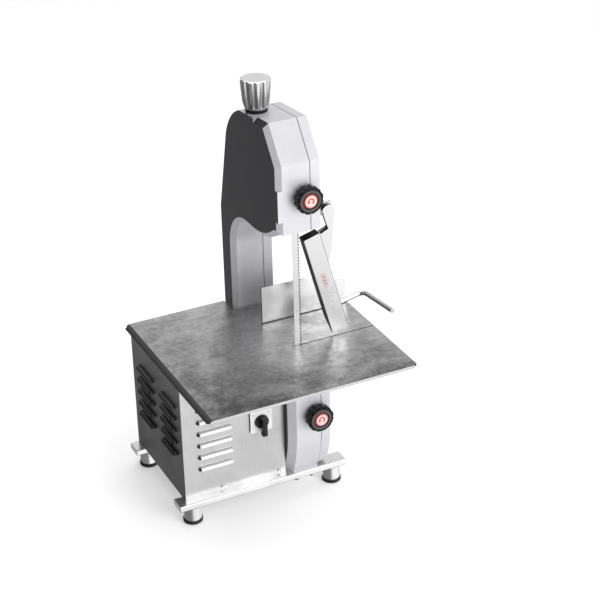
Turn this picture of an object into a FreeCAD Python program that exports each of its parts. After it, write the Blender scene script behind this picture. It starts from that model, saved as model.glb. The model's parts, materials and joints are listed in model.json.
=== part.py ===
"""Table-top bone saw: a band saw for frozen meat and bone.

Every place is measured from the work table's front left corner (X right, Y back)
and from the floor (Z up), and then moved so that the row's origin lies on the
floor under the middle of the machine.
"""
import FreeCAD, Part
import math
import os

import Sketcher

V = FreeCAD.Vector

DIMENSIONS = (
    ("table_left", -218.55, "row X of the table's left edge"),
    ("table_front", -218.75, "row Y of the table's front edge"),
    ("table_w", 450, "table width"),
    ("table_d", 426, "table depth"),
    ("table_top", 319, "height of the table's top"),
    ("table_lip", 6, "height of the table's turned edge"),
    ("sheet", 2, "table sheet thickness"),
    ("rim_w", 16, "width of the rolled left edge"),
    ("rim_drop", 5, "drop of the rolled left edge"),
    ("corner", 6, "table corner radius"),
    ("slit_w", 2.5, "width of the blade slit"),
    ("slit_x", 267, "blind end of the blade slit"),
    ("blade_y", 181, "plane of the cutting run"),
    ("blade_x", 270.5, "left edge of the blade"),
    ("blade_w", 16, "blade width"),
    ("blade_gauge", 0.5, "blade thickness"),
    ("wheel_rad", 103.5, "band wheel radius"),
    ("wheel_w", 16, "band wheel rim width"),
    ("wheel_x", 266, "left of the wheel rims"),
    ("upper_z", 663, "upper wheel axis height"),
    ("lower_z", 163, "lower wheel axis height"),
    ("tracking", 0.3, "gap between wheel and blade"),
    ("running", 0.05, "radial clearance of running fits"),
    ("frame_x", 229, "left face of the C-frame"),
    ("parting", 298, "parting plane of frame and doors"),
    ("door_x", 320, "right face of the doors"),
    ("door_gap", 0.5, "gap between frame and doors"),
    ("wall", 4.5, "frame wall"),
    ("door_wall", 3, "door wall"),
    ("back_wall", 5, "frame's left wall"),
    ("edge_cut", 10, "bevel of the head's left edges"),
    ("house_cut", 14, "bevel of the housing's left edge"),
    ("land_y", 252, "where the bevel on the head's top ends"),
    ("head_front", 153, "front of the head"),
    ("head_low", 582, "lower front corner of the head"),
    ("chin_y", 170, "where the belly begins"),
    ("chin_z", 580.4, "height where the belly begins"),
    ("belly_y", 270, "lowest point of the belly"),
    ("belly_z", 545, "underside of the head"),
    ("belly_rad", 159, "belly radius"),
    ("shoulder", 725, "top of the head's upright front"),
    ("brow_y", 205, "front of the crown"),
    ("brow_z", 796, "height of the front of the crown"),
    ("crown_y", 318, "back of the crown"),
    ("crown_z", 785, "height of the back of the crown"),
    ("nape_y", 386, "end of the crown's round back"),
    ("nape_z", 712, "height of that end"),
    ("nape_rad", 120, "radius of the crown's back"),
    ("knee_z", 538, "height where the column turns upright"),
    ("back_y", 428, "back of the column"),
    ("column_y", 379, "front of the column"),
    ("throat_rad", 74, "throat arch radius"),
    ("house_y", 124, "front of the lower housing"),
    ("house_bend", 149, "height where the housing's front curves in"),
    ("house_rad", 238, "radius of that curve"),
    ("house_foot", 145.6, "front of the housing's bottom"),
    ("house_top", 308, "top of the lower housing"),
    ("deck", 50, "top of the base bars"),
    ("upper_door_z", 324, "bottom of the upper door"),
    ("lower_door_z", 304, "top of the lower door"),
    ("lower_door_foot", 56, "bottom of the lower door"),
    ("latch_x", 286, "latch axis, across"),
    ("upper_latch_z", 656, "upper latch height"),
    ("lower_latch_z", 187, "lower latch height"),
    ("latch_rad", 28, "latch knob radius"),
    ("latch_gap", 2, "gap behind the latch knobs"),
    ("latch_depth", 26, "latch knob depth"),
    ("stud_rad", 5, "latch stud radius"),
    ("hinge_x", 323.5, "door hinge axis, across"),
    ("hinge_y", 433, "door hinge axis, back"),
    ("knuckle_rad", 4.5, "hinge knuckle radius"),
    ("hinge_pin_rad", 2.5, "hinge pin radius"),
    ("tension_x", 252, "tension screw axis, across"),
    ("boss_z", 791.5, "top of the frame's tension boss"),
    ("knob_z", 797.3, "underside of the tension knob"),
    ("knob_tall", 61, "tension knob height"),
    ("knob_top_rad", 30.5, "tension knob radius at the top"),
    ("knob_low_rad", 23.5, "tension knob radius at the bottom"),
    ("screw_rad", 8, "tension screw radius"),
    ("axle_rad", 10, "wheel axle radius"),
    ("bearing_rad", 21, "bearing outer radius"),
    ("bearing_w", 12, "bearing width"),
    ("box_x", 5, "left of the motor cabinet"),
    ("box_y", 152, "front of the motor cabinet"),
    ("box_back", 402, "back of the motor cabinet"),
    ("box_top", 309, "top of the motor cabinet"),
    ("panel", 1.2, "cabinet sheet thickness"),
    ("louver_rad", 8, "louver hood radius"),
    ("switch_x", 176, "switch centre across"),
    ("switch_z", 189, "switch centre height"),
    ("louver_z", 247, "height of the top louvers"),
    ("louver_pitch", 27, "louver spacing"),
    ("bar_x", -13, "left end of the base bars"),
    ("bar_long", 371, "length of the base bars"),
    ("bar_w", 36, "width of the base bars"),
    ("bar_tall", 13, "height of the base bars"),
    ("front_bar_y", 133, "front of the front bar"),
    ("rear_bar_y", 368, "front of the rear bar"),
    ("leg_rad", 18.5, "leg tube radius"),
    ("foot_rad", 20, "rubber foot radius"),
    ("foot_tall", 8, "rubber foot height"),
    ("leg_inset", 32, "leg axis from the bar's left end"),
    ("leg_right", 345, "right leg axis from the bar's left end"),
    ("fence_y", 295, "front of the fence"),
    ("fence_x", 252, "left end of the fence"),
    ("fence_end", 445, "right end of the fence"),
    ("fence_tall", 82, "fence height"),
    ("fence_gauge", 2, "fence thickness"),
    ("fence_stud_x", 360, "fence stud, across"),
    ("fence_stud_y", 323, "fence stud, back"),
    ("pivot_x", 363.5, "pusher pivot, across"),
    ("pivot_z", 587, "pusher pivot height"),
    ("pivot_rad", 4, "pusher pivot pin radius"),
    ("ear_gauge", 2.5, "thickness of the pusher's ear"),
    ("hub_long", 8, "length of the hub behind the ear"),
    ("arm_x", 297.5, "pusher arm's upper left corner"),
    ("arm_z", 544.5, "height of that corner"),
    ("arm_y", 184, "front face of the pusher arm"),
    ("arm_w", 36, "pusher arm width"),
    ("arm_long", 228, "pusher arm length"),
    ("arm_deep", 22, "pusher arm flange depth"),
    ("arm_gauge", 2, "pusher sheet thickness"),
    ("arm_lean", 15.3, "lean of the pusher arm, degrees"),
    ("rod_rad", 5, "pusher handle radius"),
    ("rod_y", 198, "handle's run behind the arm"),
    ("rod_rise", 11.5, "rise of the handle to the right, degrees"),
    ("motor_y", 235, "motor axis, back"),
    ("motor_z", 118, "motor axis height"),
    ("motor_rad", 58, "motor housing radius"),
    ("motor_x", 22, "left end of the motor housing"),
    ("motor_long", 150, "motor housing length"),
    ("pulley_x", 192, "left face of the pulleys"),
    ("pulley_w", 20, "pulley width"),
    ("drive_rad", 20, "motor pulley radius"),
    ("driven_rad", 40, "wheel pulley radius"),
    ("belt_gauge", 4, "belt thickness"),
)


class Size:
    """A length that carries its value and the sheet expression behind it."""

    def __init__(self, value, text):
        self.value = float(value)
        self.text = text

    def combine(self, other, sign, value):
        return Size(value, "({} {} {})".format(self.text, sign, size(other).text))

    def __add__(self, other):
        return self.combine(other, "+", self.value + size(other).value)

    def __radd__(self, other):
        return size(other) + self

    def __sub__(self, other):
        return self.combine(other, "-", self.value - size(other).value)

    def __rsub__(self, other):
        return size(other) - self

    def __mul__(self, other):
        return self.combine(other, "*", self.value * size(other).value)

    __rmul__ = __mul__

    def __truediv__(self, other):
        return self.combine(other, "/", self.value / size(other).value)


def size(number):
    """The same number as a Size."""
    if isinstance(number, Size):
        return number
    return Size(number, repr(float(number)))


class Sheet:
    """The document's spreadsheet of driving dimensions, read as attributes."""

    def __init__(self, document):
        cells = document.addObject("Spreadsheet::Sheet", "dims")
        for row, (name, value, meaning) in enumerate(DIMENSIONS, start=1):
            cells.set("A{}".format(row), meaning)
            cells.set("B{}".format(row), str(value))
            cells.setAlias("B{}".format(row), name)
            setattr(self, name, Size(value, "dims." + name))


doc = FreeCAD.newDocument("bone_saw")
d = Sheet(doc)
doc.recompute()

axle_y = d.blade_y + d.blade_gauge / 2 + d.tracking + d.wheel_rad
nodes = []


# ---------------------------------------------------------------- helpers

def bind(item, prop, value):
    """Bind one property to the sheet."""
    item.setExpression(prop, size(value).text)


def place(item, x, y, z, moved=True):
    """Put an object at a machine place, written in the row's frame."""
    shift_x = d.table_left if moved else size(0)
    shift_y = d.table_front if moved else size(0)
    bind(item, "Placement.Base.x", shift_x + x)
    bind(item, "Placement.Base.y", shift_y + y)
    bind(item, "Placement.Base.z", size(z))
    return item


def node(item, label):
    """Name a finished sub-part."""
    item.Label = label
    nodes.append(item)
    return item


def box(x, y, z, along, deep, tall):
    """A block from its lowest corner."""
    item = doc.addObject("Part::Box", "block")
    bind(item, "Length", along)
    bind(item, "Width", deep)
    bind(item, "Height", tall)
    return place(item, x, y, z)


TURN_TO = {
    "x": FreeCAD.Rotation(V(0, 1, 0), 90),
    "y": FreeCAD.Rotation(V(1, 0, 0), -90),
    "-y": FreeCAD.Rotation(V(1, 0, 0), 90),
    "z": FreeCAD.Rotation(),
}


def rod(axis, x, y, z, radius, long):
    """A cylinder that starts at a point and runs along an axis."""
    item = doc.addObject("Part::Cylinder", "rod")
    bind(item, "Radius", radius)
    bind(item, "Height", long)
    item.Placement = FreeCAD.Placement(V(), TURN_TO[axis])
    return place(item, x, y, z)


def prism(axis, x, y, z, sides, radius, long):
    """A regular prism that starts at a point and runs along an axis."""
    item = doc.addObject("Part::Prism", "prism")
    item.Polygon = sides
    bind(item, "Circumradius", radius)
    bind(item, "Height", long)
    item.Placement = FreeCAD.Placement(V(), TURN_TO[axis])
    return place(item, x, y, z)


def ball(x, y, z, radius):
    """A sphere about a point."""
    item = doc.addObject("Part::Sphere", "ball")
    bind(item, "Radius", radius)
    return place(item, x, y, z)


def fuse(*items):
    """One solid from several that touch."""
    joined = doc.addObject("Part::MultiFuse", "fused")
    joined.Shapes = list(items)
    joined.Refine = True
    return joined


def group(*items):
    """Several separate solids in one node."""
    joined = doc.addObject("Part::Compound", "group")
    joined.Links = list(items)
    return joined


def cut(base, *tools):
    """A solid less its tools."""
    result = doc.addObject("Part::Cut", "cut")
    result.Base = base
    result.Tool = tools[0] if len(tools) == 1 else fuse(*tools)
    return result


def common(base, tool):
    """What two solids share."""
    result = doc.addObject("Part::Common", "shared")
    result.Base = base
    result.Tool = tool
    return result


class Arc:
    """The corner after a round stretch, with its radius and the side it bulges to."""

    def __init__(self, u, v, radius, side):
        self.point = (size(u), size(v))
        self.radius = size(radius)
        self.side = side

    def shape(self, start):
        """The arc as it first lies: counter-clockwise about its centre."""
        begin = V(start[0].value, start[1].value, 0)
        end = V(self.point[0].value, self.point[1].value, 0)
        chord = end - begin
        fall = math.sqrt(max(self.radius.value ** 2 - (chord.Length / 2) ** 2, 0))
        across = V(-chord.y, chord.x, 0).normalize()
        centre = (begin + end) * 0.5 - across * (fall * self.side)
        if self.side > 0:
            begin, end = end, begin
        angles = [math.atan2(p.y - centre.y, p.x - centre.x) for p in (begin, end)]
        if angles[1] < angles[0]:
            angles[1] += 2 * math.pi
        return Part.ArcOfCircle(Part.Circle(centre, V(0, 0, 1), self.radius.value), *angles)


def draw(sketch, outline):
    """A closed outline whose corners and radii are bound to the sheet."""
    corners = [item.point if isinstance(item, Arc) else (size(item[0]), size(item[1]))
               for item in outline]
    first = sketch.GeometryCount
    count = len(outline)
    for index, item in enumerate(outline):
        start = corners[index - 1]
        begin = V(start[0].value, start[1].value, 0)
        end = V(corners[index][0].value, corners[index][1].value, 0)
        if isinstance(item, Arc):
            sketch.addGeometry(item.shape(start), False)
        else:
            sketch.addGeometry(Part.LineSegment(begin, end), False)
    for index, item in enumerate(outline):
        here = first + index
        after = first + (index + 1) % count
        end_here = end_of(sketch, here, corners[index])
        start_after = 3 - end_of(sketch, after, corners[(index + 1) % count])
        sketch.addConstraint(Sketcher.Constraint("Coincident", here, end_here, after, start_after))
        for kind, value in (("DistanceX", corners[index][0]), ("DistanceY", corners[index][1])):
            pin(sketch, Sketcher.Constraint(kind, -1, 1, here, end_here, value.value), value)
        if isinstance(item, Arc):
            pin(sketch, Sketcher.Constraint("Radius", here, item.radius.value), item.radius)


def end_of(sketch, index, corner):
    """Which end of a piece of the outline lies on a corner: 1 its start, 2 its end."""
    piece = sketch.Geometry[index]
    target = V(corner[0].value, corner[1].value, 0)
    near_start = (piece.StartPoint - target).Length < (piece.EndPoint - target).Length
    return 1 if near_start else 2


def pin(sketch, constraint, value):
    """Add a dimension and bind it."""
    number = sketch.addConstraint(constraint)
    sketch.setExpression("Constraints[{}]".format(number), value.text)


def circle(sketch, u, v, radius):
    """A circle bound to the sheet."""
    u, v, radius = size(u), size(v), size(radius)
    number = sketch.addGeometry(Part.Circle(V(u.value, v.value, 0), V(0, 0, 1), radius.value), False)
    pin(sketch, Sketcher.Constraint("Radius", number, radius.value), radius)
    for kind, value in (("DistanceX", u), ("DistanceY", v)):
        pin(sketch, Sketcher.Constraint(kind, -1, 1, number, 3, value.value), value)


def new_body():
    """An empty body that stands in the machine's own frame."""
    return place(doc.addObject("PartDesign::Body", "body"), size(0), size(0), size(0))


def origin_feature(body, role):
    """A plane or axis of the body's own origin."""
    return next(f for f in body.Origin.OriginFeatures if f.Role == role)


def sketch_on(body, role, offset=0):
    """A sketch on one of the body's origin planes, moved along its normal."""
    sketch = body.newObject("Sketcher::SketchObject", "outline")
    sketch.AttachmentSupport = [(origin_feature(body, role), "")]
    sketch.MapMode = "FlatFace"
    bind(sketch, "AttachmentOffset.Base.z", offset)
    return sketch


def pad(body, sketch, long, backwards=False):
    """Thicken a sketch along its normal."""
    feature = body.newObject("PartDesign::Pad", "pad")
    feature.Profile = sketch
    bind(feature, "Length", long)
    feature.Reversed = backwards
    return feature


def pocket(body, sketch, deep, along_normal=False):
    """Cut a sketch into the body, against its normal unless told otherwise."""
    before = body_volume(body)
    feature = body.newObject("PartDesign::Pocket", "pocket")
    feature.Profile = sketch
    bind(feature, "Length", deep)
    feature.Reversed = along_normal
    doc.recompute()
    if body_volume(body) >= before:
        raise RuntimeError("a pocket in {} cut nothing".format(body.Name))
    return feature


def body_volume(body):
    """The body's volume so far."""
    doc.recompute()
    return body.Shape.Volume


def revolve(body, outline):
    """Turn an outline, given as distance along the axis and radius, about the body's X axis."""
    sketch = sketch_on(body, "XY_Plane")
    draw(sketch, outline)
    feature = body.newObject("PartDesign::Revolution", "turned")
    feature.Profile = sketch
    feature.ReferenceAxis = (sketch, ["H_Axis"])
    feature.Angle = 360
    return feature


def repeat(body, feature, role, count):
    """Repeat a feature about one of the body's axes."""
    pattern = body.newObject("PartDesign::PolarPattern", "pattern")
    pattern.Originals = [feature]
    pattern.Axis = (origin_feature(body, role), [""])
    pattern.Angle = 360
    pattern.Occurrences = count
    body.Tip = pattern
    return pattern


ALONG = {
    "x": FreeCAD.Rotation(),
    "-y": FreeCAD.Rotation(V(0, 0, 1), -90),
    "y": FreeCAD.Rotation(V(0, 0, 1), 90),
    "z": FreeCAD.Rotation(V(0, 1, 0), -90),
}


def turned(axis, x, y, z, outline):
    """A lathe-turned body that starts at a point and runs along an axis."""
    body = doc.addObject("PartDesign::Body", "body")
    body.Placement = FreeCAD.Placement(V(), ALONG[axis])
    place(body, x, y, z)
    revolve(body, outline)
    return body


def ring(axis, x, y, z, inner, outer, long):
    """A turned ring."""
    return turned(axis, x, y, z, [(0, inner), (0, outer), (long, outer), (long, inner)])


def upright_outline(outline):
    """A free sketch in the YZ plane of the machine."""
    sketch = doc.addObject("Sketcher::SketchObject", "profile")
    sketch.Placement = FreeCAD.Placement(V(), FreeCAD.Rotation(V(1, 1, 1), 120))
    place(sketch, size(0), size(0), size(0))
    draw(sketch, outline)
    return sketch


def extrude(profile, start, long):
    """Thicken a YZ profile along X, from one X to another."""
    solid = doc.addObject("Part::Extrusion", "extruded")
    solid.Base = profile
    solid.DirMode = "Custom"
    solid.Dir = V(1, 0, 0)
    bind(solid, "LengthFwd", start + long)
    bind(solid, "LengthRev", size(0) - start)
    solid.Solid = True
    return solid


def inset(profile, inward):
    """The same outline, moved inward."""
    result = doc.addObject("Part::Offset2D", "inset")
    result.Source = profile
    bind(result, "Value", size(0) - inward)
    result.Join = 2
    return result


def edges_where(shape, test):
    """The numbers of the edges whose box passes a test."""
    return [number for number, edge in enumerate(shape.Edges, start=1) if test(edge)]


def soften(kind, base, test, width):
    """Chamfer or fillet the edges of a Part solid that pass a test."""
    doc.recompute()
    result = doc.addObject(kind, "softened")
    result.Base = base
    result.Edges = [(number, width.value, width.value) for number in edges_where(base.Shape, test)]
    return result


def at_x(edge, x):
    """Whether an edge lies in one plane across the machine."""
    place_x = x.value + d.table_left.value
    bounds = edge.BoundBox
    return abs(bounds.XMin - place_x) < 0.01 and abs(bounds.XMax - place_x) < 0.01


def middle_of(edge):
    """The middle of an edge, from the table's front edge and from the floor."""
    point = edge.valueAt((edge.FirstParameter + edge.LastParameter) / 2)
    return point.y - d.table_front.value, point.z


# ---------------------------------------------------------------- frame and doors

def head_outline(bottom):
    """The head and column above a height, from the column's front round the back."""
    return [
        (d.column_y, bottom),
        (d.back_y, bottom),
        (d.back_y, d.knee_z),
        (d.nape_y, d.nape_z),
        Arc(d.crown_y, d.crown_z, d.nape_rad, -1),
        (d.brow_y, d.brow_z),
        (d.head_front, d.shoulder),
        (d.head_front, d.head_low),
        (d.chin_y, d.chin_z),
        Arc(d.belly_y, d.belly_z, d.belly_rad, -1),
        (d.column_y - d.throat_rad, d.belly_z),
        Arc(d.column_y, d.belly_z - d.throat_rad, d.throat_rad, 1),
    ]


def frame_outline():
    """The whole C: lower housing, column and head."""
    return [
        (d.back_y, d.deck),
    ] + head_outline(d.house_top)[2:] + [
        (d.column_y, d.house_top),
        (d.house_y, d.house_top),
        (d.house_y, d.house_bend),
        Arc(d.house_foot, d.deck, d.house_rad, -1),
    ]


def on_head(edge):
    """Whether an edge is on the frame's left face, from the crown round the front to the throat."""
    if not at_x(edge, d.frame_x):
        return False
    y, z = middle_of(edge)
    above_table = z > d.house_top.value + 1
    behind_crown = z > d.nape_z.value + 20 and y > d.crown_y.value
    return above_table and y < d.column_y.value + 1 and not behind_crown


def on_housing(edge):
    """Whether an edge is on the frame's left face, down the front of the lower housing."""
    if not at_x(edge, d.frame_x):
        return False
    y, z = middle_of(edge)
    return y < d.house_foot.value and z < d.house_top.value - 1


def c_frame():
    """The cast C-frame, hollow and open to the right, where the doors close it."""
    profile = upright_outline(frame_outline())
    block = extrude(profile, d.frame_x, d.parting - d.frame_x)
    head_bevelled = soften("Part::Chamfer", block, on_head, d.edge_cut)
    bevelled = soften("Part::Chamfer", head_bevelled, on_housing, d.house_cut)
    land = d.edge_cut + 1
    latch_land = box(d.frame_x, d.head_front, d.head_low + 28, land, land, 66)
    crown_region = box(d.frame_x, d.land_y, d.crown_z - 20, land, d.nape_y - d.land_y, 60)
    crown_land = common(extrude(profile, d.frame_x, land), crown_region)
    boss = rod("z", d.tension_x, axle_y, d.brow_z - 24, 22, d.boss_z - d.brow_z + 24)
    shell_start = d.frame_x + d.edge_cut + 6
    wide = extrude(inset(profile, d.wall), shell_start, d.parting - shell_start + 1)
    floor = d.frame_x + d.back_wall
    narrow = extrude(inset(profile, d.edge_cut + d.wall), floor, shell_start - floor + 1)
    slot_x = d.blade_x - 6
    slot_long = d.parting - slot_x + 1
    head_slot = box(slot_x, d.blade_y - 5, d.belly_z + 6, slot_long, 10, 45)
    table_slot = box(slot_x, d.blade_y - 5, d.house_top - 10, slot_long, 10, 20)
    screw_hole = rod("z", d.tension_x, axle_y, d.brow_z - 30, d.screw_rad + 1, 40)
    shaft_hole = rod("x", d.frame_x - 1, axle_y, d.lower_z, 17, d.back_wall + 2)
    solid = fuse(bevelled, latch_land, crown_land, boss)
    hollow = cut(solid, wide, narrow, head_slot, table_slot, screw_hole, shaft_hole)
    keep_boss = cut(rod("z", d.tension_x, axle_y, d.brow_z - 24, 18, d.boss_z - d.brow_z + 23),
                    rod("z", d.tension_x, axle_y, d.brow_z - 30, d.screw_rad + 1, 40))
    return node(fuse(hollow, keep_boss), "c_frame")


def door(outline):
    """A door: a shallow cast dish with a rounded outer edge."""
    profile = upright_outline(outline)
    start = d.parting + d.door_gap
    block = extrude(profile, start, d.door_x - start)
    rounded = soften("Part::Fillet", block, lambda edge: at_x(edge, d.door_x), size(3))
    hollow = extrude(inset(profile, d.door_wall), start - 1, d.door_x - start - d.door_wall + 1)
    return rounded, hollow


def upper_door():
    """Closes the head and the column above the table."""
    rounded, hollow = door(head_outline(d.upper_door_z))
    slot = box(d.parting, d.blade_y - 6, d.belly_z + 6, 12, 12, 35)
    return node(cut(rounded, hollow, slot), "upper_door")


def lower_door():
    """Closes the lower housing below the table."""
    foot = d.house_foot
    outline = [
        (d.back_y, d.lower_door_foot),
        (d.back_y, d.lower_door_z),
        (d.house_y, d.lower_door_z),
        (d.house_y, d.house_bend),
        Arc(foot, d.lower_door_foot, d.house_rad, -1),
    ]
    rounded, hollow = door(outline)
    slot = box(d.parting, d.blade_y - 6, d.lower_door_z - 8, 12, 12, 20)
    return node(cut(rounded, hollow, slot), "lower_door")


HINGE_HEIGHTS = {"upper": (350, 500), "lower": (85, 255)}
KNUCKLE = 14


def knuckle(z):
    """One hinge knuckle with a clear bore for the pin."""
    return cut(rod("z", d.hinge_x, d.hinge_y, z, d.knuckle_rad, KNUCKLE),
               rod("z", d.hinge_x, d.hinge_y, z - 1, d.hinge_pin_rad + d.running, KNUCKLE + 2))


def fixed_knuckle(z):
    """A frame knuckle, bored to the pin's own size, with its leaf."""
    ring_part = rod("z", d.hinge_x, d.hinge_y, z, d.knuckle_rad, KNUCKLE)
    leaf = box(d.parting - 26, d.back_y, z, d.hinge_x - d.parting + 26, 2.5, KNUCKLE)
    bridge = box(d.hinge_x - 4, d.back_y, z, 4, 4, KNUCKLE)
    return cut(fuse(ring_part, leaf, bridge),
               rod("z", d.hinge_x, d.hinge_y, z - 1, d.hinge_pin_rad, KNUCKLE + 2))


def hinges():
    """Two hinges a door: frame leaves, door knuckles and pins."""
    leaves = []
    pins = []
    for which, heights in HINGE_HEIGHTS.items():
        moving = []
        for z in heights:
            leaves.append(fixed_knuckle(z - KNUCKLE - 0.4))
            lug = box(d.door_x - 4, d.back_y, z, d.hinge_x - d.door_x + 4, 3, KNUCKLE)
            block = fuse(rod("z", d.hinge_x, d.hinge_y, z, d.knuckle_rad, KNUCKLE),
                         lug,
                         box(d.hinge_x - 3, d.back_y, z, 3, 4, KNUCKLE))
            bore = rod("z", d.hinge_x, d.hinge_y, z - 1, d.hinge_pin_rad + d.running, KNUCKLE + 2)
            moving.append(cut(block, bore))
            pin_part = rod("z", d.hinge_x, d.hinge_y, z - KNUCKLE - 1.4, d.hinge_pin_rad,
                           2 * KNUCKLE + 2.4)
            pins.append(pin_part)
        node(group(*moving), which + "_door_hinges")
    node(group(*leaves), "frame_hinge_leaves")
    node(group(*pins), "hinge_pins")


# ---------------------------------------------------------------- latches and tension

def latch(which, height, front):
    """A scalloped latch knob with its face ring and a coloured cap."""
    start = front - d.latch_gap
    deep = d.latch_depth
    radius = d.latch_rad
    bore = d.stud_rad + d.running
    body = turned("-y", d.latch_x, start, height, [
        (0, bore),
        (0, radius - 7),
        (5, radius - 6),
        (7, radius),
        (deep - 3, radius),
        (deep, radius - 3),
        (deep, radius - 5.2),
        (deep - 0.8, radius - 6),
        (deep - 0.8, radius - 11),
        (deep - 2.2, radius - 12),
        (deep - 2.2, size(0)),
        (deep - 5, size(0)),
        (deep - 5, bore),
    ])
    sketch = sketch_on(body, "YZ_Plane", deep + 1)
    circle(sketch, radius + 1.4, 0, 4.2)
    scallop = pocket(body, sketch, deep - 4)
    repeat(body, scallop, "X_Axis", 12)
    node(body, which + "_latch_knob")
    cap = turned("-y", d.latch_x, start - deep + 2.1, height, [
        (0, size(0)),
        (0, radius - 14),
        (1.2, radius - 14),
        (2, radius - 15),
        (2, size(0)),
    ])
    node(cap, which + "_latch_cap")


def latch_studs():
    """The two threaded studs that stand out of the frame's front."""
    studs = []
    for front, height in ((d.head_front, d.upper_latch_z), (d.house_y, d.lower_latch_z)):
        studs.append(rod("-y", d.latch_x, front, height, d.stud_rad, 17))
    return node(group(*studs), "latch_studs")


def tension_knob():
    """The fluted knob on top of the head, wider at its top."""
    low = d.knob_low_rad
    top = d.knob_top_rad
    tall = d.knob_tall
    body = turned("z", d.tension_x, axle_y, d.knob_z, [
        (0, size(0)),
        (0, low - 2),
        (3, low),
        (16, low + 3.6),
        (38, top - 1.2),
        (tall - 4, top),
        (tall - 1.5, top - 1.4),
        (tall, top - 5),
        (tall, size(0)),
    ])
    sketch = sketch_on(body, "YZ_Plane", tall + 1)
    circle(sketch, top + 2.4, 0, 5.6)
    flute = body.newObject("PartDesign::Pocket", "flute")
    flute.Profile = sketch
    bind(flute, "Length", tall - 5)
    flute.UseCustomVector = True
    flute.Direction = V(-1, -0.1, 0)
    doc.recompute()
    repeat(body, flute, "X_Axis", 12)
    return node(body, "tension_knob")


def tension_train():
    """Collar, screw, slide block and rails of the blade tensioner."""
    collar = ring("z", d.tension_x, axle_y, d.boss_z + 0.1, d.screw_rad + d.running, 22.5, 5.4)
    node(collar, "tension_collar")
    foot = d.upper_z + d.axle_rad + 3
    node(rod("z", d.tension_x, axle_y, foot, d.screw_rad, d.knob_z - foot), "tension_screw")
    block = box(d.frame_x + 12, axle_y - 25, d.upper_z - 30, 19, 50, 82)
    bore = rod("z", d.tension_x, axle_y, foot - 2, d.screw_rad + d.running, 60)
    seat = rod("x", d.frame_x + 11, axle_y, d.upper_z, d.axle_rad, 22)
    node(cut(block, bore, seat), "slide_block")
    rails = []
    for side in (axle_y - 32, axle_y + 25.2):
        rails.append(box(d.frame_x + d.back_wall, side, d.upper_z - 55, 26, 6.8, 140))
    node(group(*rails), "slide_rails")
    start = d.frame_x + 12
    axle = turned("x", start, axle_y, d.upper_z, [
        (0, size(0)),
        (0, d.axle_rad),
        (48.5, d.axle_rad),
        (48.5, 13),
        (53, 13),
        (53, size(0)),
    ])
    node(axle, "upper_axle")


# ---------------------------------------------------------------- wheels, blade and drive

def wheel(label, height, bore):
    """A band wheel: rim, web with six windows and a hub."""
    rim = d.wheel_rad
    wide = d.wheel_w
    hub_start = -3
    body = turned("x", d.wheel_x, axle_y, height, [
        (hub_start, bore),
        (hub_start, bore + 9),
        (4, bore + 11),
        (4, rim - 10),
        (0, rim - 8),
        (0, rim),
        (wide, rim),
        (wide, rim - 8),
        (wide - 4, rim - 10),
        (wide - 4, bore + 11),
        (22, bore + 9),
        (22, bore),
    ])
    sketch = sketch_on(body, "YZ_Plane", wide + 1)
    circle(sketch, rim * 0.62, 0, 14)
    window = pocket(body, sketch, wide + 2)
    repeat(body, window, "X_Axis", 6)
    return node(body, label)


def bearing(x, height):
    """A sealed ball bearing with recessed shields."""
    inner = d.axle_rad + d.running
    outer = d.bearing_rad
    wide = d.bearing_w
    return turned("x", x, axle_y, height, [
        (0, inner),
        (0, inner + 3),
        (1, inner + 3),
        (1, outer - 3),
        (0, outer - 3),
        (0, outer),
        (wide, outer),
        (wide, outer - 3),
        (wide - 1, outer - 3),
        (wide - 1, inner + 3),
        (wide, inner + 3),
        (wide, inner),
    ])


def stadium(x, radius, long):
    """A solid with round ends about both wheel axes."""
    ends = [rod("x", x, axle_y, height, radius, long) for height in (d.upper_z, d.lower_z)]
    middle = box(x, axle_y - radius, d.lower_z, long, radius * 2, d.upper_z - d.lower_z)
    return fuse(middle, *ends)


def saw_blade():
    """The endless blade round both wheels."""
    inner = d.wheel_rad + d.tracking
    outer = stadium(d.blade_x, inner + d.blade_gauge, d.blade_w)
    return node(cut(outer, stadium(d.blade_x - 1, inner, d.blade_w + 2)), "saw_blade")


def guide(label, z, tall):
    """A slotted block that steadies the blade from behind and both sides."""
    block = box(d.blade_x - 18, d.blade_y - 10, z, 30, 20, tall)
    slot = box(d.blade_x - 0.4, d.blade_y - 0.6, z - 1, 30, 1.2, tall + 2)
    arm = box(d.frame_x + d.back_wall, d.blade_y - 8, z,
              d.blade_x - 18 - d.frame_x - d.back_wall, 16, tall)
    return node(cut(fuse(block, arm), slot), label)


def scrapers():
    """A plastic scraper close to each wheel rim: in front of the upper one, behind the lower one."""
    reach = d.wheel_rad + d.tracking + d.blade_gauge + 1
    deep = 8
    places = ((axle_y - reach - deep, d.upper_z), (axle_y + reach, d.lower_z))
    parts = [box(d.frame_x + 16, y, height + 8, 50, deep, 14) for y, height in places]
    return node(group(*parts), "blade_scrapers")


def lower_drive():
    """Lower wheel shaft with its bearing housing and bearings."""
    start = d.pulley_x - 4
    shaft = turned("x", start, axle_y, d.lower_z, [
        (0, size(0)),
        (0, d.axle_rad),
        (100.5, d.axle_rad),
        (100.5, 14),
        (105, 14),
        (105, size(0)),
    ])
    node(shaft, "lower_shaft")
    inner_face = d.frame_x + d.back_wall
    housing = turned("x", inner_face, axle_y, d.lower_z, [
        (0, 13),
        (0, 36),
        (7, 36),
        (7, 27),
        (27, 27),
        (27, d.bearing_rad),
        (1.5, d.bearing_rad),
        (1.5, 13),
    ])
    node(housing, "lower_bearing_housing")
    node(group(bearing(inner_face + 1.6, d.lower_z), bearing(inner_face + 14.4, d.lower_z)),
         "lower_bearings")


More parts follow.
